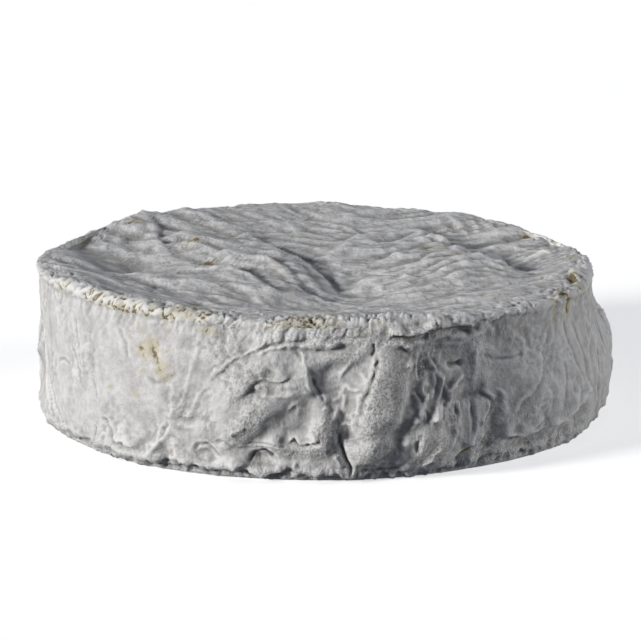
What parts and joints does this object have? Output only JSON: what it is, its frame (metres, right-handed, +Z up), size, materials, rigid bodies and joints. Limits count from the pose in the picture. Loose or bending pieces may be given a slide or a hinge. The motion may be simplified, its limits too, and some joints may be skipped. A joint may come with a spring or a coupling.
{
  "type": "cheese wheel",
  "caption": "Small whole wheel of soft-ripened cheese with a wrinkled white rind, a sunken wavy top and a flat foot to rest on.",
  "frame": {"origin": "centre of the box's underside, on the surface that the wheel rests on", "axes": "+Z up, through the wheel's flat round face; the wrinkled front of the side faces -Y, with +X to the right"},
  "size_m": [0.1104, 0.1082, 0.03],
  "materials": {
    "white_rind": "matte, powdery white mould rind with faint ochre in its cracks"
  },
  "bodies": {
    "root": {"cheese_wheel": "white_rind"}
  },
  "joints": []
}
